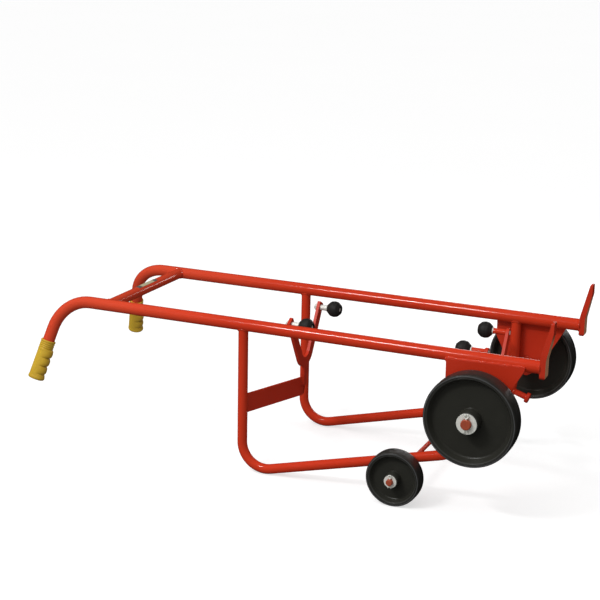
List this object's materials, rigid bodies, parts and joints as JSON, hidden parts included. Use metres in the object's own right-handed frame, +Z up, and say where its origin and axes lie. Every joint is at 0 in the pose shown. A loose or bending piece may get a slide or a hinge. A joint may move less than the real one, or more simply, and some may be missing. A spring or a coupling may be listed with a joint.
{
  "type": "drum trolley",
  "caption": "Tubular steel hand trolley with bent-down handles, roller cradle, toe plates and leg loops on large and small wheels, for tipping, moving and resting a drum on its side",
  "frame": {"origin": "on the floor under the middle of the overall box", "axes": "+X towards the toe plates, away from the operator; +Y the operator's left; +Z up"},
  "size_m": [1.4052, 0.654, 0.504],
  "materials": {
    "frame_paint": "glossy orange-red enamel over welded steel tube, light scuffs at edges",
    "grip_plastic": "mustard yellow soft vinyl, satin, faintly soiled",
    "wheel_plastic": "black moulded plastic wheel centre, satin",
    "wheel_rubber": "black solid rubber tyre, smooth, semi-gloss",
    "roller_rubber": "black moulded rubber roller",
    "bush_nylon": "natural nylon bush",
    "zinc_steel": "zinc plated steel fasteners",
    "label_film": "blank cream label film with grey ends"
  },
  "bodies": {
    "frame": {"axle_plate_left": "frame_paint", "axle_plate_right": "frame_paint", "front_fork": "frame_paint", "front_roller_bosses": "frame_paint", "grip_left": "grip_plastic", "grip_right": "grip_plastic", "handle_crossbar": "frame_paint", "label_plate": "label_film", "lash_stud_left": "frame_paint", "lash_stud_right": "frame_paint", "leg_loop_left": "frame_paint", "leg_loop_right": "frame_paint", "leg_strap": "frame_paint", "main_axle": "frame_paint", "main_axle_inner_washers": "zinc_steel", "main_axle_outer_washers": "zinc_steel", "main_axle_spacers": "frame_paint", "main_axle_split_pins": "zinc_steel", "rail_left": "frame_paint", "rail_right": "frame_paint", "rear_fork": "frame_paint", "rear_roller_spacers": "zinc_steel", "roller_bolts": "zinc_steel", "roller_nuts": "zinc_steel", "roller_washers": "zinc_steel", "small_axle": "frame_paint", "small_axle_inner_washers": "zinc_steel", "small_axle_outer_washers": "zinc_steel", "small_axle_sleeve_left": "frame_paint", "small_axle_sleeve_right": "frame_paint", "small_axle_split_pins": "zinc_steel", "toe_plate_left": "frame_paint", "toe_plate_right": "frame_paint"},
    "big_wheel_right": {"big_wheel_centre_right": "wheel_plastic", "big_wheel_tyre_right": "wheel_rubber", "big_wheel_bush_right": "bush_nylon"},
    "small_wheel_right": {"small_wheel_centre_right": "wheel_plastic", "small_wheel_tyre_right": "wheel_rubber", "small_wheel_bush_right": "bush_nylon"},
    "big_wheel_left": {"big_wheel_centre_left": "wheel_plastic", "big_wheel_tyre_left": "wheel_rubber", "big_wheel_bush_left": "bush_nylon"},
    "small_wheel_left": {"small_wheel_centre_left": "wheel_plastic", "small_wheel_tyre_left": "wheel_rubber", "small_wheel_bush_left": "bush_nylon"},
    "roller_rear_right": {"cradle_roller_rear_right": "roller_rubber", "roller_bush_rear_right": "bush_nylon"},
    "roller_rear_left": {"cradle_roller_rear_left": "roller_rubber", "roller_bush_rear_left": "bush_nylon"},
    "roller_front_right": {"cradle_roller_front_right": "roller_rubber", "roller_bush_front_right": "bush_nylon"},
    "roller_front_left": {"cradle_roller_front_left": "roller_rubber", "roller_bush_front_left": "bush_nylon"}
  },
  "joints": [
    {"name": "big_wheel_right_spin", "type": "hinge", "parent": "frame", "child": "big_wheel_right", "pos_m": [0.53715, -0.277, 0.267], "axis": [0, 1, 0], "continuous": true},
    {"name": "small_wheel_right_spin", "type": "hinge", "parent": "frame", "child": "small_wheel_right", "pos_m": [0.33915, -0.238, 0.07], "axis": [0, 1, 0], "continuous": true},
    {"name": "big_wheel_left_spin", "type": "hinge", "parent": "frame", "child": "big_wheel_left", "pos_m": [0.53715, 0.277, 0.267], "axis": [0, 1, 0], "continuous": true},
    {"name": "small_wheel_left_spin", "type": "hinge", "parent": "frame", "child": "small_wheel_left", "pos_m": [0.33915, 0.238, 0.07], "axis": [0, 1, 0], "continuous": true},
    {"name": "roller_rear_right_spin", "type": "hinge", "parent": "frame", "child": "roller_rear_right", "pos_m": [0.03415, -0.09443, 0.37684], "axis": [1, 0, 0], "continuous": true},
    {"name": "roller_rear_left_spin", "type": "hinge", "parent": "frame", "child": "roller_rear_left", "pos_m": [0.03415, 0.09443, 0.37684], "axis": [1, 0, 0], "continuous": true},
    {"name": "roller_front_right_spin", "type": "hinge", "parent": "frame", "child": "roller_front_right", "pos_m": [0.45415, -0.09443, 0.37684], "axis": [1, 0, 0], "continuous": true},
    {"name": "roller_front_left_spin", "type": "hinge", "parent": "frame", "child": "roller_front_left", "pos_m": [0.45415, 0.09443, 0.37684], "axis": [1, 0, 0], "continuous": true}
  ]
}
